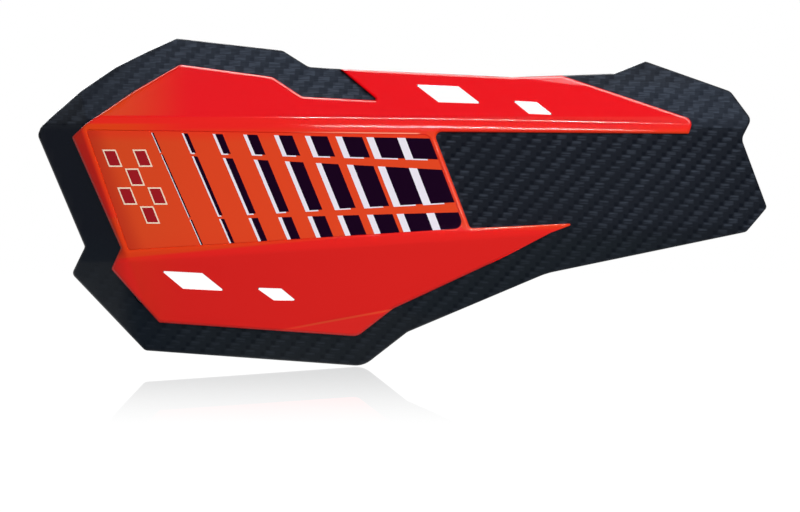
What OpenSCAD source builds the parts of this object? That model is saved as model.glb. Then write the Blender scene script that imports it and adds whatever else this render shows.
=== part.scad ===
// Open hand guard for a motorcycle handlebar, right-hand side.
// A carbon-look shell carries a glossy cover, screwed on from behind, and the cover carries a
// printed film in a shallow recess. Two brass inserts in bosses behind the inner end take the
// bolts of the handlebar bracket.
// The frame: X runs along the guard towards its inner end, Y runs back towards the rider's hand,
// Z is up. The origin is midway between the two inserts, on the plane of their pads.

/* [Overall] */
// Length of the whole guard, from the outer end to the inner end
guard_l = 270.4; // [240:0.1:310]
// Height of the whole guard, from the lower lobe to the upper shoulder
guard_h = 121.6; // [105:0.1:140]

/* [Face] */
// Radius of the long curve of the face, seen from above
crown_r = 375; // [320:1:480]
// Distance from the mounting pads forward to the front of the face
face_out = 24; // [22:0.5:32]
// Place along X where the long curve comes furthest forward
crown_x = -46; // [-70:1:-30]
// Angle by which the middle band leans back at its top
crown_lean = 2.5; // [0:0.1:5]
// Fall of the upper crease towards the inner end, in degrees
upper_fall = 1; // [0:0.1:2]
// Height of the upper crease above the mounting centre
upper_z = 20; // [17:0.1:23]
// Angle by which the upper facet leans back
upper_tilt = 38; // [30:0.5:44]
// Width of the flat that breaks the upper crease
upper_flat_w = 2.2; // [1.6:0.1:3]
// Depth of the lower crease below the mounting centre
lower_z = 19.9; // [18:0.1:22]
// Angle by which the lower facet leans back
lower_tilt = 32; // [26:0.5:38]
// Width of the flat that breaks the lower crease
lower_flat_w = 2.4; // [1.6:0.1:3]
// Rise of the lower crease towards the inner end, in degrees
lower_rise = 3.8; // [3:0.1:4.6]
// Rise of the lower crease on the narrow inner part, in degrees
inner_rise = 0.9; // [0.4:0.1:1.6]
// Radius of the lower facet's curve beyond that of the middle band
lower_r_more = 10; // [6:1:16]
// Turn of the outer end facets away from the front
end_turn = 48; // [42:0.5:54]
// Angle by which the upper outer end facet leans back
end_upper_tilt = 28; // [24:0.5:34]
// Angle by which the lower outer end facet leans back
end_lower_tilt = 27; // [22:0.5:32]
// Angle by which the small facet at the lower lobe leans back
lobe_tilt = 46; // [42:0.5:50]
// Angle by which the small facet at the upper edge leans back
shoulder_tilt = 52; // [48:0.5:56]

/* [Shell] */
// Wall thickness of the carbon-look shell
shell_t = 3; // [2:0.1:3.6]
// Thickness of the rim round the back of the shell
rim_t = 2.4; // [1.6:0.1:3.2]
// Depth of the rim and the ribs, measured square from the face
rim_d = 7; // [5.5:0.1:8.5]
// Thickness of the ribs
rib_t = 2; // [1.4:0.1:3]

/* [Cover] */
// Wall thickness of the glossy cover
cover_t = 1.8; // [1.4:0.1:2.4]
// Gap between the cover and the shell's face
seat_gap = 0.2; // [0.1:0.05:0.4]
// Thickness of the lip that hooks over the shell's upper edge
lip_t = 1.8; // [1.4:0.1:2.4]
// Depth of that lip, measured square from the shell's face
lip_d = 5; // [3.5:0.1:6.5]
// Extra room round each window where it passes through the shell
window_gap = 0.8; // [0.4:0.1:1.2]

/* [Film] */
// Depth of the recess that takes the printed film
recess_d = 0.5; // [0.4:0.05:0.7]
// Thickness of the film
film_t = 0.35; // [0.25:0.05:0.35]
// Thickness of the coloured fields laid on the film
print_t = 0.1; // [0.05:0.05:0.15]
// Gap between the film's edge and the wall of its recess
film_gap = 0.3; // [0.2:0.05:0.5]
// Number of columns of printed bars
bar_columns = 9; // [6:1:9]
// Pitch of the columns of bars
bar_pitch = 11.36; // [10.4:0.02:11.6]
// Width of the white edge of the first bar
white_first = 0.3; // [0.2:0.05:0.5]
// Growth of the white edge from one bar to the next
white_step = 0.34; // [0.26:0.02:0.36]
// Drop of the white shadow below its bar
white_drop = 0.45; // [0.3:0.05:0.5]
// Width of a cell of the slanted check beside the bars
check_w = 5; // [4:0.1:5.4]
// Height of a cell of the slanted check
check_h = 6.4; // [5:0.1:7]
// Space between the cells of the check
check_space = 0.6; // [0.4:0.1:1]
// Width of the pale line round each cell of the check
check_line = 0.5; // [0.4:0.05:0.7]

/* [Cover screws] */
// Thread diameter of the screws that hold the cover
screw_d = 4; // [3:0.1:4.5]
// Length of those screws under the head
screw_l = 9; // [8:0.5:11]
// Diameter of their pan heads
head_d = 8; // [7:0.1:9]
// Height of their pan heads
head_h = 2.8; // [2.2:0.1:3.4]
// Outer diameter of the washers
washer_d = 12; // [10:0.1:13]
// Thickness of the washers
washer_t = 1; // [0.8:0.1:1.4]
// Wall of the cover's bosses round their screws
cover_boss_wall = 1.8; // [1.4:0.1:2.2]

/* [Mounting] */
// Distance between the two mounting inserts
mount_spacing = 40; // [34:0.5:46]
// Diameter of the two mounting bosses
mount_boss_d = 15; // [13:0.1:17]
// Outer diameter of the brass inserts
insert_d = 8; // [7:0.1:9]
// Bore of the brass inserts, for an M6 bolt
insert_bore_d = 5; // [4.2:0.1:5.4]
// Length of the brass inserts
insert_l = 10; // [8:0.5:11]

/* [Hidden] */
$fn = 256;

// Facets round small parts
small_fn = 48;
// Segments in each rounded corner of an outline
corner_steps = 5;
// Reach of the large solids that bound the face
far = 120;
// Small running gap round a turned piece
fine_gap = 0.05;
// Length by which a cut runs past a face
over = 1;
// Running gap round the cover's bosses in the shell
boss_gap = 0.3;
// Space between a boss's end and the seat that the washer lies on
draw_gap = 0.4;
// Overlap that joins a boss to its wall
root = 0.6;

// Colours
carbon = [0.09, 0.10, 0.13];
gloss_red = [0.90, 0.11, 0.13];
film_orange = [0.85, 0.30, 0.14];
bar_black = [0.09, 0.02, 0.10];
edge_white = [0.90, 0.88, 0.92];
check_red = [0.60, 0.08, 0.12];
line_cream = [0.95, 0.86, 0.78];
screw_black = [0.16, 0.16, 0.17];
washer_grey = [0.62, 0.63, 0.65];
brass = [0.78, 0.62, 0.30];

// The outlines below are drawn at this length and height, in millimetres from the mounting
// centre, and are stretched to the two overall sizes. A third number is a corner's radius.
drawn_l = 270.4;
drawn_h = 121.6;

// Part of the upper edge where the cover's lip hooks over the shell, and the next corner of the
// cover's edge below its outer end
lip_from = [-105.2, 40.3];
lip_mid = [-41.8, 37.2];
lip_to = [-23.3, 37.9];
lip_corner = [-91.2, 28.6];
shell_outer_end = [
    [-204.8, -35.5, 2], [-199.8, -25.5, 1.5], [-217.9, 16.8, 3], [-201.3, 31.6], [-188.4, 40.8],
    [-175.8, 47.5], [-166.1, 51.9, 2], [-126.5, 47.2, 4], [-116.9, 41.1, 4]];
shell_inner_end = [
    [-4.1, 38.6, 3], [7.5, 43.3, 3], [39.2, 32.0, 4], [46.8, 21.6, 3], [43.1, 14.4, 4],
    [52.5, -10.9, 1.5], [49.6, -14.4, 1], [44.8, -20.0, 2.5], [-29.0, -35.3, 30],
    [-80.3, -57.0, 6], [-96.6, -69.7, 9], [-177.6, -63.9, 2.5]];
cover_outline = [
    [-204.6, 15.2, 1], [-199.1, 20.2], [-181.4, 32.3], [-164.5, 42.1, 3], [-130.2, 37.4, 5],
    [-119.1, 30.0, 3], [lip_corner[0], lip_corner[1], 1.5], lip_from, lip_mid, lip_to,
    [-9.5, 33.2], [25.3, 21.5, 1.5], [23.5, 16.2, 0.6], [-70.7, 16.9, 2], [-57.2, -18.6, 1.5],
    [-18.1, -16.8, 0.4], [-27.4, -20.3], [-44.0, -29.0], [-85.5, -48.3, 5], [-98.8, -58.6, 5],
    [-172.2, -53.5, 1], [-189.9, -33.7, 1], [-186.3, -25.9, 1]];
recess_outline = [
    [-199.4, 17.9, 0.8], [-72.2, 15.9, 3], [-58.8, -18.9, 3], [-183.5, -26.8, 0.8]];
windows = [
    [[-77.3, 34.4, 0.7], [-61.4, 33.7, 0.7], [-53.3, 27.4, 0.7], [-68.8, 27.9, 0.7]],
    [[-41.4, 28.4, 0.7], [-32.6, 27.9, 0.7], [-26.6, 23.2, 0.7], [-35.5, 23.6, 0.7]],
    [[-171.1, -34.4, 0.7], [-156.1, -35.2, 0.7], [-148.0, -41.7, 0.7], [-163.3, -40.9, 0.7]],
    [[-136.2, -40.6, 0.7], [-126.9, -40.9, 0.7], [-121.5, -45.3, 0.7], [-129.7, -45.2, 0.7]]];
// Where the creases that part the facets run
end_crease = [[-199.6, 17.4], [-184.2, -26.4]];
end_top = [-200, 20.4];
end_bottom = [-184.6, -29.2];
lobe_crease = [[-128.8, -56.6], [-86.2, -48.8]];
shoulder_crease = [[-41.8, 36.6], [-9.2, 32.4]];
waist_x = -22.2;
screw_places = [[-176, 27], [-122, 25], [0, 23.6], [-177, -42.5], [-101, -46.5], [-52, -24.6]];
rib_lines = [
    [[46, 1], [-186, -5]], [[30, 38], [30, -28]], [[-20, 38], [-20, -36]],
    [[-85, 41], [-85, -52]], [[-110, 43], [-110, -67]], [[-142, 49], [-142, -67]]];

// Places on the guard
function at(p) = [p[0] * guard_l / drawn_l, p[1] * guard_h / drawn_h];
function stretched(points) = [for (p = points) concat(at(p), [len(p) > 2 ? p[2] : 0])];
function flat(p) = [p[0], p[1]];
function unit(v) = v / norm(v);
function turn_of(u, v) = u[0] * v[1] - u[1] * v[0];
function left_of(u) = [-u[1], u[0]];

// An outline moved inwards by a distance, or outwards where the distance is negative. The
// outlines run clockwise, so inwards is to the right of each edge.
function inset(points, by) =
    let (n = len(points))
    [for (i = [0:n - 1])
        let (
            here = flat(points[i]),
            u = unit(here - flat(points[(i + n - 1) % n])),
            v = unit(flat(points[(i + 1) % n]) - here),
            shift = -(left_of(u) + left_of(v)) * by / (1 + u * v),
            bend = turn_of(u, v) > 0 ? 1 : -1,
            r = points[i][2])
        concat(here + shift, [r > 0 ? max(0.2, r + bend * by) : 0])];

// An outline with each corner rounded to its radius
function rounded(points) =
    let (n = len(points))
    [for (i = [0:n - 1])
        let (
            here = flat(points[i]),
            u = unit(flat(points[(i + n - 1) % n]) - here),
            v = unit(flat(points[(i + 1) % n]) - here),
            r = points[i][2],
            half = acos(u * v) / 2,
            centre = here + unit(u + v) * r / sin(half),
            start = here + u * r / tan(half) - centre,
            sweep = (180 - 2 * half) * (turn_of(u, v) > 0 ? 1 : -1))
        for (s = [0:r > 0 ? corner_steps : 0])
            r > 0 ? centre + spun(start, -sweep * s / corner_steps) : here];
function spun(v, a) = [v[0] * cos(a) - v[1] * sin(a), v[0] * sin(a) + v[1] * cos(a)];

// Turned surfaces of the face. Each runs through a front point, its axis stands behind that
// point at the radius, its line falls or rises, its top leans back, and its wall tapers.
function axis_of(rise, lean) = [-sin(rise) * cos(lean), sin(lean), cos(rise) * cos(lean)];
function front_of(rise, lean) = [-sin(rise) * sin(lean), -cos(lean), cos(rise) * sin(lean)];
function turned_y(x, z, front, rise, lean, r, taper) =
    let (
        a = axis_of(rise, lean),
        c = front - front_of(rise, lean) * r,
        k = tan(taper),
        px = x - c[0],
        pz = z - c[2],
        s = px * a[0] + pz * a[2],
        qa = 1 - a[1] * a[1] * (1 + k * k),
        qb = -2 * s * a[1] + 2 * k * a[1] * (r - k * s),
        qc = px * px + pz * pz - s * s - (r - k * s) * (r - k * s))
    c[1] + (-qb - sqrt(qb * qb - 4 * qa * qc)) / (2 * qa);
function flat_y(x, z, p, turn, tilt) =
    p[1] - (sin(turn) * (x - p[0]) - tan(tilt) * (z - p[2])) / cos(turn);

// The middle band and the facets above and below it
upper_front = [crown_x, -face_out, upper_z * guard_h / drawn_h];
function crown_y(x, z) = turned_y(x, z, upper_front, -upper_fall, crown_lean, crown_r, 0);
function upper_y(x, z) = turned_y(x, z, upper_front, -upper_fall, crown_lean, crown_r, upper_tilt);
function on_crown(p) = let (q = at(p)) [q[0], crown_y(q[0], q[1]), q[1]];
// A flat at half a facet's angle, as deep as its width asks
function flat_depth(w, tilt) = w / (1 / tan(tilt / 2) + 1 / (tan(tilt) - tan(tilt / 2)));
upper_cut = flat_depth(upper_flat_w, upper_tilt);
lower_cut = flat_depth(lower_flat_w, lower_tilt);
lower_front_z = -lower_z * guard_h / drawn_h;
lower_front = [crown_x, crown_y(crown_x, lower_front_z), lower_front_z];
inner_front_z = lower_front_z
    + (at([waist_x, 0])[0] - crown_x) * (tan(lower_rise) - tan(inner_rise));
inner_front = [crown_x, crown_y(crown_x, inner_front_z), inner_front_z];
lower_r = crown_r + lower_r_more;
function lower_y(x, z) = turned_y(x, z, lower_front, lower_rise, 0, lower_r, -lower_tilt);
function inner_y(x, z) = turned_y(x, z, inner_front, inner_rise, 0, crown_r, -lower_tilt);

// The tilt or the turn of a flat facet, so that its crease runs through two points of the face
function tilt_through(a, b, turn) =
    let (d = b - a)
    atan((sin(turn) * d[0] + cos(turn) * d[1]) / d[2]);
function turn_through(a, b, tilt) =
    let (d = b - a)
    asin(tan(tilt) * d[2] / norm([d[0], d[1]])) - atan2(d[1], d[0]);
function on_upper(p) = let (q = at(p)) [q[0], upper_y(q[0], q[1]), q[1]];
function on_lower(p) = let (q = at(p)) [q[0], lower_y(q[0], q[1]), q[1]];
end_point = on_crown(end_crease[0]);
end_tilt = tilt_through(on_crown(end_crease[0]), on_crown(end_crease[1]), end_turn);
end_top_point = on_crown(end_top);
end_bottom_point = on_crown(end_bottom);
lobe_point = on_lower(lobe_crease[0]);
lobe_turn = turn_through(lobe_point, on_lower(lobe_crease[1]), -lobe_tilt);
shoulder_point = on_upper(shoulder_crease[0]);
shoulder_turn = turn_through(shoulder_point, on_upper(shoulder_crease[1]), shoulder_tilt);

// Where the shell's face lies at a place on the guard
function face_y(p) =
    let (x = p[0], z = p[1])
    max(crown_y(x, z), upper_y(x, z), min(lower_y(x, z), inner_y(x, z)),
        flat_y(x, z, end_point, end_turn, end_tilt),
        flat_y(x, z, end_top_point, end_turn, end_upper_tilt),
        flat_y(x, z, end_bottom_point, end_turn, -end_lower_tilt),
        flat_y(x, z, lobe_point, lobe_turn, -lobe_tilt),
        flat_y(x, z, shoulder_point, shoulder_turn, shoulder_tilt));

// A turned solid, with its wall moved inwards by a depth
module turned(front, rise, lean, r, taper, cut, depth) {
    wall = r - cut - depth / cos(taper);
    translate(front)
        rotate([-lean, -rise, 0])
            translate([0, r, -far])
                cylinder(h = 2 * far, r1 = wall + far * tan(taper), r2 = wall - far * tan(taper));
}

// A block behind a flat facet
module behind_flat(p, turn, tilt, depth) {
    translate(p)
        rotate([0, 0, -turn])
            rotate([-tilt, 0, 0])
                translate([-4 * far, depth, -4 * far])
                    cube([8 * far, 8 * far, 8 * far]);
}

// Everything behind the face, moved inwards by a depth
module behind(depth) {
    intersection() {
        turned(upper_front, -upper_fall, crown_lean, crown_r, 0, 0, depth);
        turned(upper_front, -upper_fall, crown_lean, crown_r, upper_tilt, 0, depth);
        turned(upper_front, -upper_fall, crown_lean, crown_r, upper_tilt / 2, upper_cut, depth);
        union() {
            intersection() {
                turned(lower_front, lower_rise, 0, lower_r, -lower_tilt, 0, depth);
                turned(lower_front, lower_rise, 0, lower_r, -lower_tilt / 2, lower_cut, depth);
            }
            intersection() {
                turned(inner_front, inner_rise, 0, crown_r, -lower_tilt, 0, depth);
                turned(inner_front, inner_rise, 0, crown_r, -lower_tilt / 2, lower_cut, depth);
            }
        }
        behind_flat(end_point, end_turn, end_tilt, depth);
        behind_flat(end_top_point, end_turn, end_upper_tilt, depth);
        behind_flat(end_bottom_point, end_turn, -end_lower_tilt, depth);
        behind_flat(lobe_point, lobe_turn, -lobe_tilt, depth);
        behind_flat(shoulder_point, shoulder_turn, shoulder_tilt, depth);
    }
}

// A flat shape carried straight through the guard from front to back
module through() {
    rotate([90, 0, 0])
        linear_extrude(height = 2 * far, center = true)
            children();
}

// A slab of the face's own form between two depths, with a flat shape's outline
module face_slab(from, to) {
    difference() {
        intersection() {
            behind(from);
            through()
                children();
        }
        behind(to);
    }
}

// The film, the bars and the check, as flat shapes
cover_front = -cover_t - seat_gap;
recess_floor = cover_front + recess_d;
film_front = recess_floor - film_t;
print_front = film_front - print_t;
bar_from = at([-175, 0])[0];
bar_to = at([-60, 0])[0];
// Width of the first bar, and the column at which the bars close up to each other
bar_first = 0.46;
bars_close = 7;
// Sideways run of a bar for each millimetre of height, and how much less each next bar has
bar_slant = 0.443;
slant_step = 0.007;
// Heights of the lines between the rows of bars, at bar_from and at bar_to. The lowest runs past
// the film's edge, which cuts it.
bar_rows = [
    [[16.7, 14.2], [9.7, 6.5]], [[8.8, 2.5], [-15.3, -8.9]], [[-15.9, -12.7], [-30, -24]]];
last_row = len(bar_rows) - 1;
function row_line(row, edge) = bar_rows[row][edge] * guard_h / drawn_h;
function dropped(line) = [line[0] - white_drop, line[1] - white_drop];
function line_z(line, x) = line[0] + (line[1] - line[0]) * (x - bar_from) / (bar_to - bar_from);
function slant_of(k) = bar_slant - slant_step * k;
function white_of(k) = white_first + white_step * k;
function gap_of(k) = max(0, (bar_pitch - white_first - bar_first) * (1 - k / bars_close));
function crossing(k, off, line) =
    let (
        m = (line[1] - line[0]) / (bar_to - bar_from),
        s = slant_of(k),
        x0 = bar_from + k * bar_pitch,
        z0 = line_z(row_line(0, 0), x0),
        z = (line[0] + m * (x0 + off + s * z0 - bar_from)) / (1 + m * s))
    [x0 + off + s * (z0 - z), z];
function bar_end(k) = k == bar_columns - 1 ? far / 2 : -gap_of(k);

module film_outline() {
    polygon(rounded(inset(stretched(recess_outline), film_gap)));
}

module bars_flat() {
    for (k = [0:bar_columns - 1], row = [0:last_row]) {
        top = row_line(row, 0);
        bottom = row_line(row, 1);
        w = white_of(k);
        polygon([
            crossing(k, w, top), crossing(k + 1, bar_end(k), top),
            crossing(k + 1, bar_end(k), bottom), crossing(k, w, bottom)]);
    }
}

module edges_flat() {
    for (k = [0:bar_columns - 1], row = [0:last_row]) {
        top = row_line(row, 0);
        bottom = row_line(row, 1);
        under = row == last_row ? bottom : dropped(bottom);
        w = white_of(k);
        shadow_end = -gap_of(k) - w;
        polygon([
            crossing(k, 0, top), crossing(k, w, top), crossing(k, w, bottom),
            crossing(k + 1, shadow_end, bottom), crossing(k + 1, shadow_end, under),
            crossing(k, 0, under)]);
    }
}

// Upper corner of the check, its sideways run for each millimetre of height, and its cells
check_from = at([-193.2, 10.5]);
check_slant = 0.4;
check_columns = 3;
check_rows = 4;
module checks_flat(shrink) {
    for (c = [0:check_columns - 1], r = [0:check_rows - 1]) {
        if ((c + r) % 2 == 0) {
            u = c * (check_w + check_space) + shrink;
            v = r * (check_h + check_space) + shrink;
            w = check_w - 2 * shrink;
            h = check_h - 2 * shrink;
            polygon([for (q = [[u, v], [u + w, v], [u + w, v + h], [u, v + h]])
                check_from + [q[0] + check_slant * q[1], -q[1]]]);
        }
    }
}

module decal_film() {
    color(film_orange)
        face_slab(film_front, recess_floor)
            film_outline();
}

module print_bars() {
    color(bar_black)
        face_slab(print_front, film_front)
            intersection() {
                film_outline();
                bars_flat();
            }
}

module print_edges() {
    color(edge_white)
        face_slab(print_front, film_front)
            intersection() {
                film_outline();
                edges_flat();
            }
}

module print_checks() {
    color(check_red)
        face_slab(print_front, film_front)
            checks_flat(check_line);
}

module print_check_lines() {
    color(line_cream)
        face_slab(print_front, film_front)
            difference() {
                checks_flat(0);
                checks_flat(check_line);
            }
}

// The shell's outline steps down under the cover's lip
lip_drop = lip_t + seat_gap;
lip_run = at(lip_corner) - at(lip_from);
function down_slant(by) = lip_run * by / -lip_run[1];
function across(by) = unit(at(lip_mid) - at(lip_from)) * by;
shell_points = concat(
    stretched(shell_outer_end),
    [for (p = [
        at(lip_from) + across(seat_gap),
        at(lip_from) + across(seat_gap) + down_slant(lip_drop),
        at(lip_mid) - [0, lip_drop],
        at(lip_to) + [seat_gap, -lip_drop],
        at(lip_to) + [seat_gap, 0]]) [p[0], p[1], 0]],
    stretched(shell_inner_end));
lip_points = [
    at(lip_from) + across(2 * seat_gap),
    at(lip_mid),
    at(lip_to),
    at(lip_to) - [0, lip_t],
    at(lip_mid) - [0, lip_t],
    at(lip_from) + across(2 * seat_gap) + down_slant(lip_t)];

module windows_flat(grow) {
    for (w = windows)
        polygon(rounded(inset(stretched(w), -grow)));
}

// The fastening of the cover. Each screw comes from behind, through a washer on the shell's flat
// seat, into a boss of the cover that passes through the shell.
cover_boss_d = screw_d + 2 * cover_boss_wall;
seat_margin = 0.5;
seat_d = washer_d + 2 * seat_margin;
// Room between a screw's tip and the face of the shell
tip_room = 2.5;
function screw_xz(i) = at(screw_places[i]);
function seat_y(i) = face_y(screw_xz(i)) + screw_l - washer_t + tip_room;

// Stands a turned piece at a screw's seat, its axis to the rear
module at_seat(i) {
    translate([screw_xz(i)[0], seat_y(i), screw_xz(i)[1]])
        rotate([-90, 0, 0])
            children();
}

// A cylinder at each screw, from a height over its seat down into the face
module seat_pins(d, top) {
    for (i = [0:len(screw_places) - 1])
        at_seat(i)
            translate([0, 0, top - far / 2])
                cylinder(h = far / 2, d = d, $fn = small_fn);
}

// A straight wall along a line, as a flat shape
module wall_flat(a, b, w) {
    side = left_of(unit(b - a)) * w / 2;
    polygon([a + side, b + side, b - side, a - side]);
}

// A cylinder at each insert, from a place along Y forward by a length
module mount_pins(d, from, length) {
    for (side = [-1, 1])
        translate([side * mount_spacing / 2, from, 0])
            rotate([90, 0, 0])
                cylinder(h = length, d = d, $fn = small_fn);
}

// Bores for the inserts, a little deeper than the inserts
insert_room = 0.6;
module insert_bores() {
    mount_pins(insert_d + 2 * fine_gap, over, over + insert_l + insert_room);
}

module base_shell() {
    color(carbon)
        difference() {
            union() {
                difference() {
                    intersection() {
                        behind(0);
                        through()
                            polygon(rounded(shell_points));
                    }
                    behind(rim_d);
                    intersection() {
                        behind(shell_t);
                        through()
                            difference() {
                                polygon(rounded(inset(shell_points, rim_t)));
                                for (rib = rib_lines)
                                    wall_flat(at(rib[0]), at(rib[1]), rib_t);
                            }
                    }
                }
                intersection() {
                    behind(shell_t - root);
                    union() {
                        seat_pins(seat_d, 0);
                        mount_pins(mount_boss_d, 0, far / 2);
                    }
                }
            }
            seat_pins(cover_boss_d + 2 * boss_gap, over);
            insert_bores();
            through()
                windows_flat(window_gap);
        }
}

module cover_shell() {
    color(gloss_red)
        difference() {
            union() {
                difference() {
                    intersection() {
                        behind(cover_front);
                        through()
                            polygon(rounded(stretched(cover_outline)));
                    }
                    intersection() {
                        behind(-seat_gap);
                        through()
                            difference() {
                                square([8 * far, 8 * far], center = true);
                                polygon(lip_points);
                            }
                    }
                    behind(lip_d);
                }
                intersection() {
                    behind(cover_front + root);
                    seat_pins(cover_boss_d, -draw_gap);
                }
            }
            pilot_holes();
            through()
                windows_flat(0);
            difference() {
                through()
                    polygon(rounded(stretched(recess_outline)));
                behind(recess_floor);
            }
        }
}

// Blind holes that the screws cut their thread in
module pilot_holes() {
    for (i = [0:len(screw_places) - 1])
        at_seat(i)
            translate([0, 0, washer_t - screw_l - draw_gap])
                cylinder(h = screw_l, d = screw_d + 2 * fine_gap, $fn = small_fn);
}

// A pan-head screw. The underside of its head is at the height of the washer's top. The rounded
// edge and the tip's chamfer are shares of the head's height and of the thread.
edge_share = 0.6;
tip_share = 0.3;
module cover_screw(i) {
    edge_r = edge_share * head_h;
    tip = tip_share * screw_d;
    color(screw_black)
        at_seat(i)
            translate([0, 0, washer_t])
                difference() {
                    rotate_extrude($fn = small_fn)
                        polygon(concat(
                            [[0, -screw_l], [screw_d / 2 - tip, -screw_l],
                                [screw_d / 2, tip - screw_l], [screw_d / 2, 0], [head_d / 2, 0]],
                            [for (a = [0:15:90])
                                [head_d / 2 - edge_r + edge_r * cos(a),
                                    head_h - edge_r + edge_r * sin(a)]],
                            [[0, head_h]]));
                    cross_recess();
                }
}

// The cross-shaped recess, its size in shares of the head's
cross_length = 0.52;
cross_width = 0.14;
cross_floor = 0.4;
module cross_recess() {
    for (a = [0, 90])
        rotate([0, 0, a])
            translate([-cross_length / 2 * head_d, -cross_width / 2 * head_d, cross_floor * head_h])
                cube([cross_length * head_d, cross_width * head_d, head_h]);
}

// A flat washer, its hole wider than the thread
washer_play = 0.3;
module cover_washer(i) {
    color(washer_grey)
        at_seat(i)
            difference() {
                cylinder(h = washer_t, d = washer_d, $fn = small_fn);
                translate([0, 0, -over])
                    cylinder(h = washer_t + 2 * over, d = screw_d + washer_play, $fn = small_fn);
            }
}

// A brass insert with two gripping bands, its mouth on the plane of the pads. The bands stand
// over the neck by a depth, and begin and end at shares of the length.
band_depth = 0.5;
band_shares = [0.08, 0.42, 0.58, 0.92];
mouth_chamfer = 0.4;
module mount_insert(side) {
    bore_r = insert_bore_d / 2;
    band_r = insert_d / 2;
    neck_r = band_r - band_depth;
    band_ends = insert_l * band_shares;
    color(brass)
        translate([side * mount_spacing / 2, 0, 0])
            rotate([90, 0, 0])
                rotate_extrude($fn = small_fn)
                    polygon([
                        [bore_r + mouth_chamfer, 0], [neck_r, 0],
                        [neck_r, band_ends[0]], [band_r, band_ends[0]],
                        [band_r, band_ends[1]], [neck_r, band_ends[1]],
                        [neck_r, band_ends[2]], [band_r, band_ends[2]],
                        [band_r, band_ends[3]], [neck_r, band_ends[3]],
                        [neck_r, insert_l], [bore_r, insert_l], [bore_r, mouth_chamfer]]);
}

base_shell();
cover_shell();
decal_film();
print_bars();
print_edges();
print_checks();
print_check_lines();
mount_insert(1);  // mount_insert_inner
mount_insert(-1);  // mount_insert_outer
for (i = [1:len(screw_places)]) {
    cover_screw(i - 1);
    cover_washer(i - 1);
}
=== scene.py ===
"""Open hand guard for a motorcycle handlebar: looks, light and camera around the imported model."""
import math

import bmesh
import bpy
import numpy as np
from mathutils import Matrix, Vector


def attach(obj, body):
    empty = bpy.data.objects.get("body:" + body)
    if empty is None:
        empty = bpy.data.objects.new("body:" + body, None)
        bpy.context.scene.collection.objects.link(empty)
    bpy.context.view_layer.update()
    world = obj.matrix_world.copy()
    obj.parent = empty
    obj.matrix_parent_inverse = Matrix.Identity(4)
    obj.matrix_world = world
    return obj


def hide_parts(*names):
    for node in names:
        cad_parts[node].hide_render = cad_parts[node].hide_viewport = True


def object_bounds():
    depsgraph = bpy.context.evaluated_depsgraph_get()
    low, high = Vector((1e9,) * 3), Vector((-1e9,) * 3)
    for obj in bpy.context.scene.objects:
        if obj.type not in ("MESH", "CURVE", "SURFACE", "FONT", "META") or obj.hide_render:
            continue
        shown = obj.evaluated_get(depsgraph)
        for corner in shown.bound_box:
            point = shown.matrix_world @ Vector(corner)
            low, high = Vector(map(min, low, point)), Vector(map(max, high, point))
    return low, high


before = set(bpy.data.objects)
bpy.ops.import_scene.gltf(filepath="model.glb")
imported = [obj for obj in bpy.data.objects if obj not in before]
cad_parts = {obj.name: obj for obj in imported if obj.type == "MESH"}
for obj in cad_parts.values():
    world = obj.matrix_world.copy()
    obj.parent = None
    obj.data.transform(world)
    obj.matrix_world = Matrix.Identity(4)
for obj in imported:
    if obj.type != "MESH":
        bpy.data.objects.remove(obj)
cad_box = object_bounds()
bpy.ops.object.select_all(action="DESELECT")

# Base shell: the long moulded shell that carries everything else. Carbon-look plastic, injection
# moulded, its face one long curve broken by flat facets, with a rim, ribs and bosses behind.
# Its mesh starts as a copy of the model's. The copy is laid flat, its edges are rounded and it is
# cut into rows along the creases, and then it is bent back onto the face. Sizes in millimetres
# and degrees.
CROWN_R = 375.0  # radius of the long curve of the face, seen from above
FACE_OUT = 24.0  # from the mounting pads forward to the front of the face
CROWN_X = -46.0  # where the long curve comes furthest forward
CROWN_LEAN = 2.5
UPPER_FALL, UPPER_Z, UPPER_TILT = 1.0, 20.0, 38.0  # the upper crease, and the facet above it
UPPER_FLAT = 2.2  # width of the narrow flat that breaks the upper crease
SEEN_TILT, SEEN_CUT = 9.1, 0.28  # that flat's tilt and depth as the photograph has them
LOWER_RISE, LOWER_Z, LOWER_TILT = 3.8, -19.9, 32.0  # the lower crease, and the facet below it
LOWER_FLAT, LOWER_R = 2.4, 385.0
INNER_RISE, WAIST_X = 0.9, -22.2  # the lower crease's slower rise inwards of the waist
END_TURN, END_UPPER_TILT, END_LOWER_TILT = 48.0, 28.0, 27.0
LOBE_TILT, LOBE_LINE = 46.0, ((-128.8, -56.6), (-86.2, -48.8))
SHOULDER_TILT, SHOULDER_LINE = 52.0, ((-41.8, 36.6), (-9.2, 32.4))
SHELL_T, RIM_D = 3.0, 7.0
CREASE_ROUND, LOW_ROUND, END_ROUND, FACET_ROUND = 0.16, 0.3, 0.35, 0.25
LOW_END_ROUND = 2.2  # how much rounder the end crease gets at the lower lobe
COLUMNS, ROWS = np.arange(-216, 54, 4.0), np.arange(-68, 52, 8.0)  # cuts that bend with the face
UPPER_ROWS = np.arange(-3.0, 2.01, 0.125)  # cuts beside the creases, from each crease
LOWER_ROWS = np.arange(-3.0, 2.01, 0.25)
FEW_ROWS = np.arange(-1.2, 1.21, 0.3)
OWN_NORMALS_FROM = 3.5  # behind this Y the bent mesh keeps its own normals


def sin(a):
    """The sine of an angle in degrees."""
    return math.sin(math.radians(a))


def cos(a):
    return math.cos(math.radians(a))


def tan(a):
    return math.tan(math.radians(a))


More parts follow.
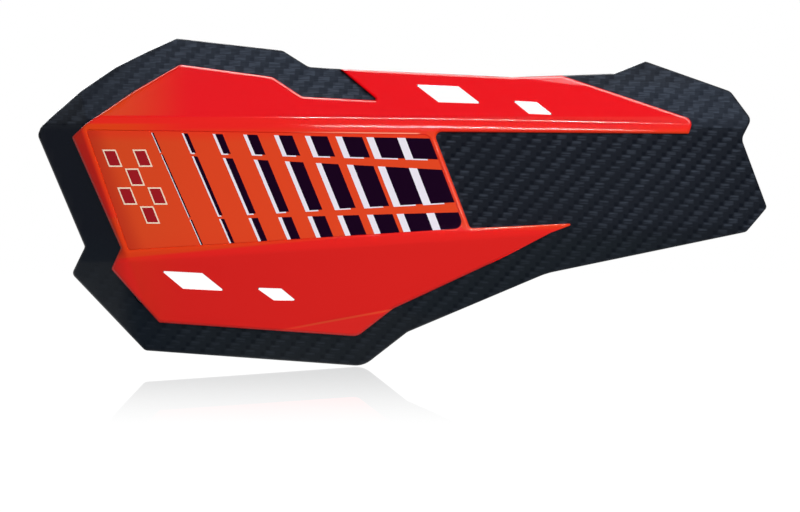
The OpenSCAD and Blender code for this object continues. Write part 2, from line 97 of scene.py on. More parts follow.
def turned_y(x, z, front, rise, lean, r, taper, cut=0.0, depth=0.0):
    """Where a turned facet lies: a cylinder or cone of radius r through the front point."""
    a = (-sin(rise) * cos(lean), sin(lean), cos(rise) * cos(lean))
    f = (-sin(rise) * sin(lean), -cos(lean), cos(rise) * sin(lean))
    cx, cy, cz = (front[i] - f[i] * r for i in range(3))
    wall, k = r - cut - depth / cos(taper), tan(taper)
    px, pz = x - cx, z - cz
    s = px * a[0] + pz * a[2]
    qa = 1 - a[1] * a[1] * (1 + k * k)
    qb = -2 * s * a[1] + 2 * k * a[1] * (wall - k * s)
    qc = px * px + pz * pz - s * s - (wall - k * s) ** 2
    return cy + (-qb - np.sqrt(qb * qb - 4 * qa * qc)) / (2 * qa)


def flat_y(x, z, p, turn, tilt, depth=0.0):
    """Where a flat facet through the point p lies."""
    slope = sin(turn) * (x - p[0]) - tan(tilt) * (z - p[2])
    return p[1] - slope / cos(turn) + depth / (cos(turn) * cos(tilt))


def flat_cut(width, tilt):
    """How deep a flat of a given width cuts into a crease between faces at a tilt."""
    return width / (1 / tan(tilt / 2) + 1 / (tan(tilt) - tan(tilt / 2)))


def crown_y(x, z, depth=0.0):
    return turned_y(x, z, upper_front, -UPPER_FALL, CROWN_LEAN, CROWN_R, 0.0, 0.0, depth)


def upper_y(x, z, depth=0.0):
    return turned_y(x, z, upper_front, -UPPER_FALL, CROWN_LEAN, CROWN_R, UPPER_TILT, 0.0, depth)


def lower_y(x, z, depth=0.0):
    return turned_y(x, z, lower_front, LOWER_RISE, 0.0, LOWER_R, -LOWER_TILT, 0.0, depth)


def inner_y(x, z, depth=0.0):
    return turned_y(x, z, inner_front, INNER_RISE, 0.0, CROWN_R, -LOWER_TILT, 0.0, depth)


def on(y_of, x, z):
    """The point of a facet at x, z."""
    return (x, float(y_of(x, z)), z)


def turn_through(a, b, tilt):
    """The turn of a flat facet with a given tilt that holds the line from a to b."""
    dx, dy, dz = (b[i] - a[i] for i in range(3))
    side = math.asin(tan(tilt) * dz / math.hypot(dx, dy))
    return math.degrees(side - math.atan2(dy, dx))


upper_front = (CROWN_X, -FACE_OUT, UPPER_Z)
lower_front = on(crown_y, CROWN_X, LOWER_Z)
inner_z = LOWER_Z + (WAIST_X - CROWN_X) * (tan(LOWER_RISE) - tan(INNER_RISE))
inner_front = on(crown_y, CROWN_X, inner_z)
end_point, end_low = on(crown_y, -199.6, 17.4), on(crown_y, -184.2, -26.4)
end_run = [end_low[i] - end_point[i] for i in range(3)]
end_back = sin(END_TURN) * end_run[0] + cos(END_TURN) * end_run[1]
END_TILT = math.degrees(math.atan(end_back / end_run[2]))
end_top, end_bottom = on(crown_y, -200.0, 20.4), on(crown_y, -184.6, -29.2)
lobe_point, lobe_end = (on(lower_y, *place) for place in LOBE_LINE)
shoulder_point, shoulder_end = (on(upper_y, *place) for place in SHOULDER_LINE)
lobe_turn = turn_through(lobe_point, lobe_end, -LOBE_TILT)
shoulder_turn = turn_through(shoulder_point, shoulder_end, SHOULDER_TILT)


def soft_max(a, b, k):
    """The greater of two surfaces, rounded where they meet."""
    h = np.maximum(k - np.abs(a - b), 0.0)
    return np.maximum(a, b) + h * h / (4 * k + 1e-9)


def end_y(x, z, depth, k=0.0):
    """The three facets of the outer end."""
    y = flat_y(x, z, end_point, END_TURN, END_TILT, depth)
    y = soft_max(y, flat_y(x, z, end_top, END_TURN, END_UPPER_TILT, depth), k)
    return soft_max(y, flat_y(x, z, end_bottom, END_TURN, -END_LOWER_TILT, depth), k)


def face_y(x, z, depth, rounded=True):
    """The face's own form moved inwards by a depth, its creases a little rounded near the front."""
    soft = np.clip(1 - depth / 4, 0, 1) * rounded
    y = crown_y(x, z, depth)
    upper = (x, z, upper_front, -UPPER_FALL, CROWN_LEAN, CROWN_R)
    flat = turned_y(*upper, UPPER_TILT / 2, flat_cut(UPPER_FLAT, UPPER_TILT), depth)
    flat += (turned_y(*upper, SEEN_TILT, SEEN_CUT, depth) - flat) * soft
    for facet in (flat, turned_y(*upper, UPPER_TILT, 0.0, depth)):
        y = soft_max(y, facet, CREASE_ROUND * soft)
    below = []
    cut = flat_cut(LOWER_FLAT, LOWER_TILT)
    for front, rise, r in ((lower_front, LOWER_RISE, LOWER_R), (inner_front, INNER_RISE, CROWN_R)):
        edge = turned_y(x, z, front, rise, 0.0, r, -LOWER_TILT / 2, cut, depth)
        facet = turned_y(x, z, front, rise, 0.0, r, -LOWER_TILT, 0.0, depth)
        below.append(soft_max(edge, facet, LOW_ROUND * soft))
    y = soft_max(y, np.minimum(below[0], below[1]), LOW_ROUND * soft)
    low_end = END_ROUND + LOW_END_ROUND * np.clip((-26 - z) / 8, 0, 1)
    y = soft_max(y, end_y(x, z, depth, END_ROUND * soft), low_end * soft)
    lobe = flat_y(x, z, lobe_point, lobe_turn, -LOBE_TILT, depth)
    shoulder = flat_y(x, z, shoulder_point, shoulder_turn, SHOULDER_TILT, depth)
    y = soft_max(y, lobe, FACET_ROUND * soft)
    return soft_max(y, shoulder, FACET_ROUND * soft)


def depth_at(x, y, z):
    """How far behind the face each point lies."""
    e = 0.01
    depth = y - face_y(x, z, 0.0, False)
    for _ in range(12):
        slope = (face_y(x, z, depth + e, False) - face_y(x, z, depth - e, False)) / (2 * e)
        depth += (y - face_y(x, z, depth, False)) / slope
    return depth


def upper_crease(x, depth):
    """How high the upper crease runs at each place along the guard."""
    z = np.full_like(x, UPPER_Z)
    for _ in range(8):
        z += (upper_y(x, z, depth) - crown_y(x, z, depth)) / -tan(UPPER_TILT)
    return z


def lower_crease(x, depth):
    """How high the lower crease runs at each place along the guard."""
    z = np.full_like(x, LOWER_Z)
    for _ in range(12):
        below = np.minimum(lower_y(x, z, depth), inner_y(x, z, depth))
        z += (below - crown_y(x, z, depth)) / tan(LOWER_TILT)
    return z


def end_crease(z, depth):
    """How far out the end facets meet the rest of the face at each height."""
    MEETING_SLOPE = 0.7
    x = np.full_like(z, end_point[0])
    for _ in range(20):
        rest = np.maximum(crown_y(x, z, depth), upper_y(x, z, depth))
        rest = np.maximum(rest, lower_y(x, z, depth))
        x += (end_y(x, z, depth) - rest) / MEETING_SLOPE
    return x


def coords(mesh):
    """The mesh's points in millimetres."""
    out = np.empty(len(mesh.vertices) * 3)
    mesh.vertices.foreach_get("co", out)
    return out.reshape(-1, 3) * 1000


def set_coords(mesh, points):
    mesh.vertices.foreach_set("co", (points / 1000).ravel())
    mesh.update()


def edit(piece):
    """Select one piece alone and open it in edit mode."""
    bpy.ops.object.select_all(action="DESELECT")
    piece.select_set(True)
    bpy.context.view_layer.objects.active = piece
    bpy.ops.object.mode_set(mode="EDIT")


def laid_flat(node, name, levels):
    """A merged copy of a model node with its Y turned into depth behind the face."""
    SAME_POINT, SAME_LEVEL, SAME_PLANE = 2e-6, 0.04, 0.4
    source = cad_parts[node]
    piece = source.copy()
    piece.data = source.data.copy()
    piece.parent = None
    piece.name = piece.data.name = name
    bpy.context.scene.collection.objects.link(piece)
    piece.data.transform(source.matrix_world)
    piece.matrix_world.identity()
    edit(piece)
    bpy.ops.mesh.customdata_custom_splitnormals_clear()
    bpy.ops.mesh.select_all(action="SELECT")
    bpy.ops.mesh.remove_doubles(threshold=SAME_POINT)
    bpy.ops.object.mode_set(mode="OBJECT")
    p = coords(piece.data)
    depth = depth_at(p[:, 0], p[:, 1], p[:, 2])
    for level in levels:
        depth[np.abs(depth - level) < SAME_LEVEL] = level
    p[:, 1] = depth
    set_coords(piece.data, p)
    edit(piece)
    bpy.ops.mesh.select_all(action="SELECT")
    bpy.ops.mesh.dissolve_limited(angle_limit=math.radians(SAME_PLANE))
    bpy.ops.object.mode_set(mode="OBJECT")
    return piece


def resize_corner(piece, corner, reach, factor):
    """Make a rounded corner of a laid-flat piece sharper or fuller."""
    p = coords(piece.data)
    away = p[:, ::2] - corner
    close = np.hypot(away[:, 0], away[:, 1]) < reach
    p[close, ::2] = corner + away[close] * factor
    set_coords(piece.data, p)


def bow_out(piece, corners, height):
    """Push the outline out into a gentle bow along a run of its corners, within the model's box."""
    CUTS_APART, ON_THE_LINE, RISE_BY, FALL = 1.5, 0.05, 0.12, 0.7
    start, end = np.array(corners[0]), np.array(corners[-1])
    cut_rows(piece, np.arange(start[0] + 1, end[0], CUTS_APART), 0)
    p = coords(piece.data)
    run = end - start
    length = np.hypot(*run)
    along, out = run / length, np.array((-run[1], run[0])) / length
    t = (p[:, ::2] - start) @ along / length
    h = (p[:, ::2] - start) @ out
    drawn_t = (np.array(corners) - start) @ along / length
    drawn_h = (np.array(corners) - start) @ out
    edge = (t > 0) & (t < 1) & (np.abs(h - np.interp(t, drawn_t, drawn_h)) < ON_THE_LINE)
    share = t[edge]
    bow = height * np.clip(share / RISE_BY, 0, 1) * (1 - share) ** FALL
    p[edge, ::2] += bow[:, None] * out
    p[:, 0] = np.maximum(p[:, 0], cad_box[0].x * 1000 + 0.005)
    set_coords(piece.data, p)


def round_edges(piece, level, width, segments, wanted):
    """Round the edges between the front face at one level and the walls beside it.

    An edge is rounded where wanted says so from its middle and from its wall's deepest point.
    """
    SAME_LEVEL, FRONT, WALL = 0.01, -0.999, 0.6
    edit(piece)
    bpy.ops.mesh.select_all(action="DESELECT")
    bpy.ops.mesh.select_mode(type="EDGE")
    bm = bmesh.from_edit_mesh(piece.data)
    for e in bm.edges:
        at_level = all(abs(v.co.y * 1000 - level) < SAME_LEVEL for v in e.verts)
        if at_level and len(e.link_faces) == 2:
            front = any(f.normal.y < FRONT for f in e.link_faces)
            wall = any(abs(f.normal.y) < WALL for f in e.link_faces)
            middle = (e.verts[0].co + e.verts[1].co) * 500
            foot = max(v.co.y for f in e.link_faces for v in f.verts) * 1000
            if front and wall and wanted(middle.x, middle.z, foot):
                e.select = True
    bmesh.update_edit_mesh(piece.data)
    bpy.ops.mesh.bevel(offset=width / 1000, segments=segments, clamp_overlap=False)
    bpy.ops.object.mode_set(mode="OBJECT")


def cut_rows(piece, places, axis, curve=None):
    """Cut a laid-flat piece at each place along an axis, or along a curve where one is given."""
    MARGIN = 0.05
    p = coords(piece.data)
    other = 0 if axis == 2 else 2
    if curve:
        p[:, axis] -= curve(p[:, other])
        set_coords(piece.data, p)
    low, high = p[:, axis].min(), p[:, axis].max()
    edit(piece)
    normal = (1, 0, 0) if axis == 0 else (0, 0, 1)
    for place in places:
        if low + MARGIN < place < high - MARGIN:
            bpy.ops.mesh.select_all(action="SELECT")
            bpy.ops.mesh.bisect(plane_co=tuple(place / 1000 * n for n in normal), plane_no=normal)
    bpy.ops.object.mode_set(mode="OBJECT")
    if curve:
        p = coords(piece.data)
        p[:, axis] += curve(p[:, other])
        set_coords(piece.data, p)


def cut_along_creases(piece, front):
    """Cut a laid-flat piece wherever the face bends, most closely beside its creases."""
    cut_rows(piece, COLUMNS, 0)
    cut_rows(piece, ROWS, 2)
    cut_rows(piece, UPPER_ROWS, 2, lambda x: upper_crease(x, front))
    cut_rows(piece, LOWER_ROWS, 2, lambda x: lower_crease(x, front))
    cut_rows(piece, FEW_ROWS, 0, lambda z: end_crease(z, front))
    for (start_x, start_z), (end_x, end_z) in (LOBE_LINE, SHOULDER_LINE):
        slope = (end_z - start_z) / (end_x - start_x)
        cut_rows(piece, FEW_ROWS, 2, lambda x: start_z + slope * (x - start_x))
    edit(piece)
    bpy.ops.mesh.select_all(action="SELECT")
    bpy.ops.mesh.quads_convert_to_tris()
    bpy.ops.object.mode_set(mode="OBJECT")


def corner_normals(mesh):
    out = np.empty(len(mesh.loops) * 3)
    mesh.corner_normals.foreach_get("vector", out)
    return out.reshape(-1, 3)


def flat_normals(mesh, vertex):
    """Each face corner's normal on a laid-flat piece, with faces truly flat and walls upright."""
    SQUARE, NEARLY_SQUARE, UPRIGHT, NEARLY_UPRIGHT = 0.9999, 0.8, 0.01, 0.5
    corner = corner_normals(mesh)
    face = np.empty(len(mesh.polygons) * 3)
    mesh.polygons.foreach_get("normal", face)
    facing = np.repeat(face.reshape(-1, 3)[:, 1], 3)
    for side in (-1, 1):
        touches = np.zeros(len(mesh.vertices), bool)
        touches[vertex[facing * side > SQUARE]] = True
        corner[touches[vertex] & (corner[:, 1] * side > NEARLY_SQUARE)] = (0, side, 0)
    touches = np.zeros(len(mesh.vertices), bool)
    touches[vertex[np.abs(facing) < UPRIGHT]] = True
    corner[touches[vertex] & (np.abs(corner[:, 1]) < NEARLY_UPRIGHT), 1] = 0
    return corner


def bend(piece, front):
    """Cut a laid-flat piece, bend it back onto the face and give it true normals."""
    cut_along_creases(piece, front)
    bpy.ops.object.shade_smooth_by_angle(angle=math.radians(32))
    mesh = piece.data
    vertex = np.empty(len(mesh.loops), int)
    mesh.loops.foreach_get("vertex_index", vertex)
    flat = flat_normals(mesh, vertex)
    p = coords(mesh)
    x, depth, z = p.T.copy()
    e = 0.01
    dx = (face_y(x + e, z, depth) - face_y(x - e, z, depth)) / (2 * e)
    dz = (face_y(x, z + e, depth) - face_y(x, z - e, depth)) / (2 * e)
    dd = (face_y(x, z, depth + e) - face_y(x, z, depth - e)) / (2 * e)
    dx, dz, dd = dx[vertex], dz[vertex], dd[vertex]
    turned = np.stack([flat[:, 0] - flat[:, 1] * dx / dd, flat[:, 1] / dd,
                       flat[:, 2] - flat[:, 1] * dz / dd], 1)
    turned /= np.linalg.norm(turned, axis=1)[:, None]
    p[:, 1] = face_y(x, z, depth)
    set_coords(mesh, p)
    behind = (p[:, 1] > OWN_NORMALS_FROM)[vertex]
    turned[behind] = corner_normals(mesh)[behind]
    mesh.normals_split_custom_set([tuple(n) for n in turned])


def new_finish(name):
    """A material with only its Principled shader, and the maker of its other nodes."""
    finish = bpy.data.materials.new(name)
    finish.use_nodes = True
    tree = finish.node_tree
    return finish, tree, tree.nodes["Principled BSDF"]


def node(tree, kind, inputs=None, **settings):
    """A shader node with its settings and inputs. An input is a value or another node's output."""
    made = tree.nodes.new(kind)
    for key, value in settings.items():
        setattr(made, key, value)
    for key, value in (inputs or {}).items():
        if isinstance(value, bpy.types.NodeSocket):
            tree.links.new(value, made.inputs[key])
        else:
            made.inputs[key].default_value = value
    return made


def calc(tree, operation, a, b=0.0, c=0.0):
    """The result of one sum, of values or of nodes' outputs."""
    return node(tree, "ShaderNodeMath", {0: a, 1: b, 2: c}, operation=operation).outputs[0]


def product(tree, *parts):
    """All parts multiplied."""
    made = parts[0]
    for part in parts[1:]:
        made = calc(tree, "MULTIPLY", made, part)
    return made


def without(tree, share, amount=1.0):
    """What is left of 1 without an amount of a share."""
    return calc(tree, "SUBTRACT", 1.0, calc(tree, "MULTIPLY", share, amount))


def plus(tree, base_value, share, amount):
    """A value and an amount of a share."""
    return calc(tree, "ADD", base_value, calc(tree, "MULTIPLY", share, amount))


def ramp(tree, value, low, high):
    """0 below low, 1 above high, and smooth between."""
    made = node(tree, "ShaderNodeMapRange", {0: value, 1: low, 2: high},
                interpolation_type="SMOOTHSTEP")
    return made.outputs[0]


def near(tree, value, centre, far, close):
    """1 where a value is close to a centre, 0 where it is far, and smooth between."""
    away = calc(tree, "ABSOLUTE", calc(tree, "SUBTRACT", value, centre))
    return ramp(tree, away, far, close)


def over_line(tree, x, z, slope, at_zero):
    """How far a place lies above a sloping line, in millimetres."""
    return calc(tree, "SUBTRACT", z, plus(tree, at_zero, x, slope))


def blend_colours(tree, share, a, b):
    """Colour a, and b in its place by the share given."""
    colours = [(*c, 1) if isinstance(c, tuple) else c for c in (a, b)]
    made = node(tree, "ShaderNodeMix", {0: share, 6: colours[0], 7: colours[1]}, data_type="RGBA")
    return made.outputs[2]


def noise(tree, where, scale, detail):
    made = node(tree, "ShaderNodeTexNoise", {"Vector": where, "Scale": scale, "Detail": detail})
    return made.outputs["Fac"]


def add_bump(tree, shader, height, strength, distance):
    bump = node(tree, "ShaderNodeBump", {"Height": height, "Strength": strength,
                                         "Distance": distance})
    tree.links.new(bump.outputs[0], shader.inputs["Normal"])


def places_in_mm(tree):
    """The piece's own coordinates, and its X, Y and Z in millimetres."""
    where = node(tree, "ShaderNodeTexCoord").outputs["Object"]
    split = node(tree, "ShaderNodeSeparateXYZ", {0: where})
    return where, [calc(tree, "MULTIPLY", split.outputs[i], 1000.0) for i in range(3)]


def past_end_crease(tree, x, z):
    """Millimetres inwards from the crease at the outer end, negative beyond it."""
    END_LEAN, END_AT_ZERO = 0.3516, 193.5
    return calc(tree, "ADD", plus(tree, x, z, END_LEAN), END_AT_ZERO)


def weave_cells(tree, x, y, z, turn):
    """How many cells of the weave a place lies along and up. The walls take Y for X or for Z."""
    CELL_X, CELL_Z = 1.85, 2.13
    facing = node(tree, "ShaderNodeTexCoord").outputs["Normal"]
    normal = node(tree, "ShaderNodeSeparateXYZ", {0: facing})
    nx, ny, nz = (calc(tree, "ABSOLUTE", normal.outputs[i]) for i in range(3))
    wall = calc(tree, "LESS_THAN", ny, 0.5)
    end_wall = product(tree, wall, calc(tree, "GREATER_THAN", nx, nz))
    long_wall = calc(tree, "SUBTRACT", wall, end_wall)
    u = plus(tree, x, end_wall, calc(tree, "SUBTRACT", y, x))
    v = plus(tree, z, long_wall, calc(tree, "SUBTRACT", y, z))
    across = plus(tree, product(tree, u, cos(turn) / CELL_X), v, -sin(turn) / CELL_X)
    up = plus(tree, product(tree, u, sin(turn) / CELL_Z), v, cos(turn) / CELL_Z)
    return across, up


def carbon_look():
    """Dark blue-black plastic with a twill weave moulded in, its diagonals rising to the right,
    with painted highlights on its tows and painted light and shade over its facets.
    """
    WEAVE_TURN, REPEAT, FLOAT_END = 2.9, 4.0, 1.5
    # The ground below is painted lighter, the lit tow colour holds the weave and painted
    # highlights, and the outer band and low corner are painted shade.
    GROUND, GROUND_BELOW_PAINTED_LIGHT = (0.0084, 0.0100, 0.0144), (0.0088, 0.0116, 0.0154)
    IN_A_GAP, LIT_TOW = (0.0010, 0.0018, 0.0045), (0.046, 0.056, 0.076)
    OUTER_BAND_PAINTED_SHADE, LOW_CORNER_PAINTED_SHADE = (0.0004, 0.0012, 0.0060), (0.0014, 0.0040, 0.0090)
    finish, tree, shader = new_finish("carbon_look")
    where, (x, y, z) = places_in_mm(tree)
    across, up = weave_cells(tree, x, y, z, WEAVE_TURN)

    # The tows that run along lie on top for two cells of four, a cell further on in each row.
    column, row = calc(tree, "FLOOR", across), calc(tree, "FLOOR", up)
    step = calc(tree, "FLOORED_MODULO", calc(tree, "SUBTRACT", column, row), REPEAT)
    on_top = calc(tree, "LESS_THAN", step, FLOAT_END)
    along_tow = calc(tree, "ADD", step, calc(tree, "FRACT", across))
    along_tow = calc(tree, "SUBTRACT", along_tow, 1.0)
    within = calc(tree, "FRACT", up)
    off_middle = calc(tree, "ABSOLUTE", calc(tree, "SUBTRACT", within, 0.5))
    tow_end = without(tree, calc(tree, "POWER", calc(tree, "ABSOLUTE", along_tow), 4.0))
    crown = without(tree, calc(tree, "POWER", off_middle, 4.0), 12.0)
    height = product(tree, crown, tow_end, on_top)

    # Fine fibres, and a painted highlight along each tow's upper side.
    laid = node(tree, "ShaderNodeMapping", {"Vector": where, "Scale": (200.0, 100.0, 1900.0),
                                            "Rotation": (0, math.radians(-WEAVE_TURN), 0)})
    streak = ramp(tree, noise(tree, laid.outputs[0], 1.0, 1.0), 0.42, 0.66)
    patches = noise(tree, where, 60.0, 2.0)
    tow_painted_highlight = near(tree, within, 0.70, 0.26, 0.04)
    shine = plus(tree, plus(tree, 0.04, streak, 0.40), tow_painted_highlight, 0.36)
    light = product(tree, height, shine, calc(tree, "ADD", 0.25, patches))
    gap = product(tree, near(tree, along_tow, 2.45, 0.6, 0.2), ramp(tree, within, 0.8, 0.5),
                  calc(tree, "ADD", 0.3, patches))

    # Above the upper crease the weave gets a flatter painted light, with dark squares, and painted
    # shade towards the outer end.
    # Past the end crease and below the lower crease its painted light is cut: painted shade.
    above = ramp(tree, z, 20.5, 23.0)
    square = near(tree, along_tow, 2.0, 1.0, 0.75)
    lit = product(tree, without(tree, square, 0.72), plus(tree, 0.28, streak, 0.48))
    light = calc(tree, "ADD", product(tree, light, without(tree, above)), product(tree, lit, above))
    far = product(tree, ramp(tree, x, -165.0, -192.0), above)
    outer = product(tree, ramp(tree, past_end_crease(tree, x, z), 0.8, -1.2),
                    ramp(tree, z, 21.0, 17.0), ramp(tree, z, -36.0, -27.0))
    below = ramp(tree, z, -18.0, -26.0)
    light = product(tree, light, without(tree, far, 0.45), without(tree, outer, 0.9),
                    without(tree, below, 0.5))

    # Painted shade in the low corner towards the outer end.
    low_corner_painted_shade = product(tree, below, ramp(tree, x, -150.0, -180.0))
    # Below the lower crease the ground is painted lighter: painted light on the lower facet.
    colour = blend_colours(tree, below, GROUND, GROUND_BELOW_PAINTED_LIGHT)
    colour = blend_colours(tree, product(tree, gap, 0.7), colour, IN_A_GAP)
    colour = blend_colours(tree, light, colour, LIT_TOW)
    # Painted shade: the band past the end crease is darkened.
    colour = blend_colours(tree, product(tree, outer, 0.95), colour, OUTER_BAND_PAINTED_SHADE)
    colour = blend_colours(tree, product(tree, low_corner_painted_shade, 0.6), colour, LOW_CORNER_PAINTED_SHADE)
    add_bump(tree, shader, height, 0.10, 0.00010)
    tree.links.new(colour, shader.inputs["Base Color"])
    tree.links.new(plus(tree, 0.20, patches, 0.10), shader.inputs["Roughness"])
    shader.inputs["Specular IOR Level"].default_value = 0.07
    shader.inputs["Specular Tint"].default_value = (0.60, 0.78, 1.0, 1)
    return finish


def wear(piece, finish):
    """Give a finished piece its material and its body."""
    piece.data.materials.clear()
    piece.data.materials.append(finish)
    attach(piece, "root")


UPPER_OUTER_RUN, BOW = ((-217.9, 16.8), (-201.3, 31.6), (-188.4, 40.8), (-175.8, 47.5)), 1.1
base = laid_flat("base_shell", "base_moulding", (0.0, SHELL_T, RIM_D))
bow_out(base, UPPER_OUTER_RUN, BOW)
round_edges(base, 0.0, 0.8, 4, lambda x, z, foot: True)
bend(base, 0.0)
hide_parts("base_shell")
wear(base, carbon_look())

# Cover: the glossy red moulding that lies proud on the shell, with four slots, a cut-out for the
# shell's panel and a shallow recess for the printed film. It hooks over the shell's upper edge and
# is held by screws from behind. Towards its left end painted warm light turns it orange.
COVER_FRONT, COVER_BACK, RECESS = -2.0, -0.2, -1.5
SLOT_TIPS = ((-77.3, 34.4), (-53.3, 27.4), (-41.4, 28.4), (-26.6, 23.2),
             (-171.1, -34.4), (-148.0, -41.7), (-136.2, -40.6), (-121.5, -45.3))
NOTCH, INNER_TIP = (-91.2, 28.6), (25.3, 21.5)


def gloss_red():
    """Gloss red plastic, turned orange towards the outer end by painted warm light, with painted
    shade, painted highlights and a faint moulding ripple.
    """
    LOWER_SLOPE, LOWER_AT_ZERO = 0.0943, -12.4  # the lower crease, seen from the front
    LOBE_SLOPE, LOBE_AT_ZERO = 0.1831, -33.02  # the crease of the lobe's small facet
    RECESS_SLOPE, RECESS_AT_ZERO = -0.0107, 15.345  # the recess's upper edge
    # The orange is painted warm light, the red below the top a painted sheen, the dark red painted
    # shade, the light red painted light, and the fold line and pale lip painted highlights.
    RED, RED_BELOW_PAINTED_SHEEN, ORANGE_PAINTED_LIGHT = (0.81, 0.0015, 0.0055), (0.80, 0.0170, 0.0140), (0.73, 0.052, 0.008)
    END_RED_PAINTED_SHADE, RED_PAINTED_LIGHTER = (0.35, 0.0010, 0.0040), (0.97, 0.0240, 0.0190)
    FOLD_PAINTED_HIGHLIGHT, RECESS_PAINTED_HIGHLIGHT, DUST = (0.90, 0.090, 0.030), (1.0, 0.40, 0.25), (0.62, 0.02, 0.02)
    finish, tree, shader = new_finish("gloss_red")
    where, (x, _, z) = places_in_mm(tree)

    # Painted warm light, orange: the outer end, but less so low down, past the end crease and on
    # the narrow flat.
    strip = ramp(tree, past_end_crease(tree, x, z), 0.8, -2.2)
    low = ramp(tree, z, 8.0, -34.0)
    flat = product(tree, ramp(tree, z, 19.6, 20.6), ramp(tree, z, 23.6, 22.6))
    orange = product(tree, ramp(tree, x, -158.0, -192.0), without(tree, low, 0.7),
                     without(tree, strip, 0.75), without(tree, flat, 0.85))
    # Orange again: the rims of the recess below and above the film, and beside the panel.
    over_crease = over_line(tree, x, z, LOWER_SLOPE, LOWER_AT_ZERO)
    below_film = product(tree, ramp(tree, over_crease, -0.4, 0.8), ramp(tree, z, -13.0, -15.5),
                         ramp(tree, x, -70.0, -165.0))
    above_film = product(tree, ramp(tree, z, 19.0, 16.6), ramp(tree, z, 10.0, 14.0))
    by_panel = product(tree, ramp(tree, plus(tree, x, z, 0.38), -67.6, -66.6),
                       ramp(tree, z, 18.0, 16.5), ramp(tree, z, -20.0, -17.5))
    for rim, amount in ((below_film, 0.9), (above_film, 0.45), (by_panel, 0.7)):
        orange = calc(tree, "MAXIMUM", orange, product(tree, rim, amount))

    # Below the upper facet the red is paler in green and blue: a painted sheen.
    painted_sheen_below_top = calc(tree, "MAXIMUM", ramp(tree, z, -17.0, -23.0), ramp(tree, z, 22.9, 22.1))
    colour = blend_colours(tree, painted_sheen_below_top, RED, RED_BELOW_PAINTED_SHEEN)
    colour = blend_colours(tree, orange, colour, ORANGE_PAINTED_LIGHT)
    # Painted shade on the low part of the strip past the end crease.
    end_painted_shade = product(tree, strip, ramp(tree, z, -33.0, -27.0))
    colour = blend_colours(tree, product(tree, end_painted_shade, 0.45), colour, END_RED_PAINTED_SHADE)

    # The lobe's small facet and the upper part of the strip past the end crease get painted light,
    # and a painted highlight runs along the lobe's crease.
    over_lobe = over_line(tree, x, z, LOBE_SLOPE, LOBE_AT_ZERO)
    on_lobe = ramp(tree, z, -44.0, -48.0)
    lobe = product(tree, ramp(tree, over_lobe, 0.25, -0.25), on_lobe)
    low_end = calc(tree, "SUBTRACT", strip, end_painted_shade)
    painted_lighter = calc(tree, "MAXIMUM", lobe, product(tree, low_end, 0.35))
    colour = blend_colours(tree, painted_lighter, colour, RED_PAINTED_LIGHTER)
    fold_painted_highlight = product(tree, near(tree, over_lobe, 0.0, 0.55, 0.15), ramp(tree, x, -131.0, -112.0),
                   on_lobe, 0.7)
    colour = blend_colours(tree, fold_painted_highlight, colour, FOLD_PAINTED_HIGHLIGHT)

    # A painted highlight runs along the recess's upper edge at its inner half.
    over_recess = over_line(tree, x, z, RECESS_SLOPE, RECESS_AT_ZERO)
    recess_painted_highlight = product(tree, ramp(tree, over_recess, -0.2, 0.1), ramp(tree, over_recess, 0.5, 0.2),
                  ramp(tree, x, -128.0, -96.0), ramp(tree, x, -75.0, -77.0), 0.8)
    colour = blend_colours(tree, recess_painted_highlight, colour, RECESS_PAINTED_HIGHLIGHT)
    dust = noise(tree, where, 35.0, 3.0)
    colour = blend_colours(tree, product(tree, dust, 0.06), colour, DUST)
    add_bump(tree, shader, noise(tree, where, 420.0, 1.0), 0.0015, 0.00005)
    tree.links.new(colour, shader.inputs["Base Color"])
    tree.links.new(plus(tree, 0.088, dust, 0.010), shader.inputs["Roughness"])
    shader.inputs["Specular IOR Level"].default_value = 0.035
    return finish


def in_a_slot(x, z):
    """Whether a place lies by one of the cover's four slots, which are above or below the film."""
    upper_slots = -80 < x < -24 and 23 < z < 35.5
    lower_slots = -173 < x < -120 and -46 < z < -33.5
    return upper_slots or lower_slots


def on_wing_tip(x, z):
    """Whether a place lies on the thin tip below the panel, which has sharper edges."""
    return x > -36 and z < -15


def by_recess(foot):
    """Whether a wall ends on the recess's floor."""
    return foot < RECESS + 0.1


cover = laid_flat("cover_shell", "cover_moulding", (COVER_FRONT, RECESS, COVER_BACK))
for slot_tip in SLOT_TIPS:
    resize_corner(cover, slot_tip, 2.6, 0.35)
resize_corner(cover, NOTCH, 5.0, 0.3)
resize_corner(cover, INNER_TIP, 2.2, 1.9)
round_edges(cover, COVER_FRONT, 0.2, 2, lambda x, z, foot: in_a_slot(x, z) or by_recess(foot))
round_edges(cover, COVER_FRONT, 0.35, 3,
            lambda x, z, foot: on_wing_tip(x, z) and not by_recess(foot))
round_edges(cover, COVER_FRONT, 1.1, 5,
            lambda x, z, foot: not (in_a_slot(x, z) or on_wing_tip(x, z) or by_recess(foot)))
bend(cover, COVER_FRONT)
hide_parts("cover_shell")
wear(cover, gloss_red())

# Film: a printed sheet stuck in the cover's recess. It fades from orange-red to a darker orange at
# its outer end, and carries slanted bars, their shadow edges and a slanted check of cells.
FILM_FRONT, PRINT_FRONT = -1.85, -1.95


